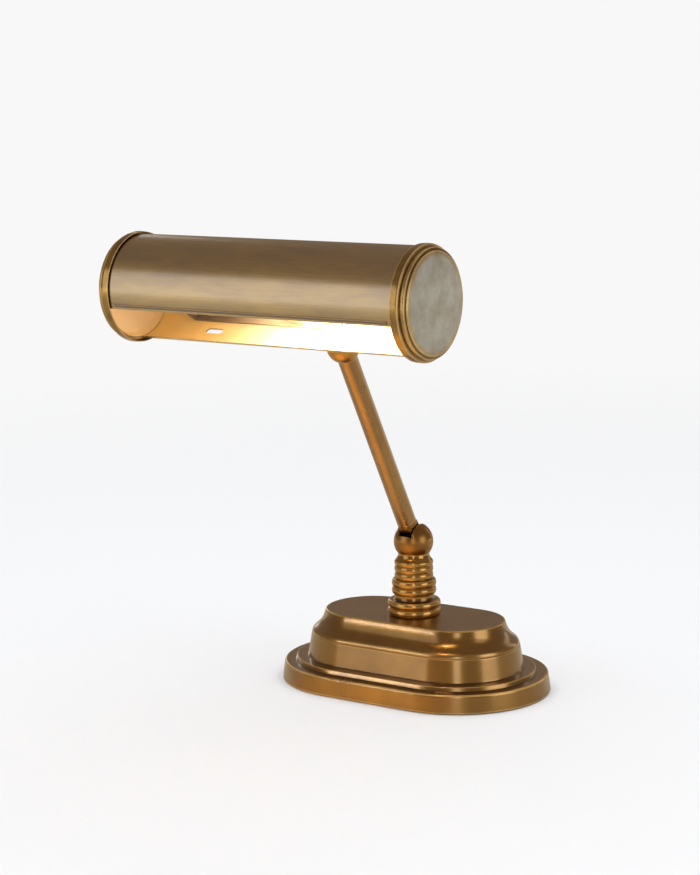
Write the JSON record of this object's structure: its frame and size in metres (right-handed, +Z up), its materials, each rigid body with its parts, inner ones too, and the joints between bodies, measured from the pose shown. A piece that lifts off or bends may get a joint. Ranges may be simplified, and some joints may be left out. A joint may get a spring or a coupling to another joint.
{
  "type": "bankers lamp",
  "caption": "Brass bankers lamp with a stepped oval base, a ringed column, a leaning arm between two ball knuckles and a half-open tube shade with beaded end caps.",
  "frame": {"origin": "On the desk, under the middle of the base's oval.", "axes": "+Z is up from the desk. -Y is the front, the side that the arm and the shade lean to. +X runs along the base's long side and the shade, to the viewer's right from the front."},
  "size_m": [0.2154, 0.2328, 0.2949],
  "materials": {
    "antique_brass": "aged polished brass with a soft patina",
    "dark_brass": "darkened brushed brass sheet",
    "bright_brass": "plain turned brass",
    "steel": "zinc plated steel",
    "cast_iron": "rough cast iron",
    "felt": "thick green felt",
    "black_phenolic": "black phenolic",
    "porcelain": "white glazed porcelain",
    "cream_paint": "cream stove enamel",
    "lamp_glass": "frosted lamp glass",
    "filament": "glowing filament sticks on a glass post",
    "flex": "brown braided flex"
  },
  "bodies": {
    "base": {"base_shell": "antique_brass", "ballast": "cast_iron", "bottom_plate": "steel", "felt_pad": "felt", "plate_screws": "steel", "cable_inlet": "black_phenolic", "switch_body": "black_phenolic", "switch_ring": "bright_brass", "switch_leads": "flex", "terminal_block": "porcelain", "terminal_screws": "bright_brass", "column": "antique_brass", "threaded_rod": "bright_brass", "rod_nut": "bright_brass", "rod_washer": "steel", "column_flex": "flex", "lower_ball": "antique_brass", "lower_pin": "antique_brass"},
    "arm": {"lower_washers": "bright_brass", "lower_tongue": "antique_brass", "arm_tube": "antique_brass", "arm_flex": "flex", "upper_ball": "antique_brass", "upper_pin": "antique_brass"},
    "shade": {"upper_washers": "bright_brass", "shade_stem": "antique_brass", "shade_saddle": "antique_brass", "stem_washer": "steel", "stem_nut": "bright_brass", "shade_tube": "dark_brass", "left_cap": "antique_brass", "right_cap": "antique_brass", "lamp_bracket": "cream_paint", "lampholder": "porcelain", "holder_nut": "bright_brass", "lamp_cap": "bright_brass", "lamp_glass": "lamp_glass", "lamp_stem": "filament", "lamp_leads": "flex"},
    "button": {"switch_button": "bright_brass"}
  },
  "joints": [
    {"name": "arm_tilt", "type": "hinge", "parent": "base", "child": "arm", "pos_m": [0, 0, 0.0918], "axis": [1, 0, 0], "range_deg": [-60, 5]},
    {"name": "shade_tilt", "type": "hinge", "parent": "arm", "child": "shade", "pos_m": [0, -0.07533, 0.2244], "axis": [1, 0, 0], "range_deg": [-60, 8]},
    {"name": "button_press", "type": "slide", "parent": "base", "child": "button", "axis": [0, -1, 0], "range_m": [0, 0.0015], "stiffness_N_per_m": 400}
  ]
}
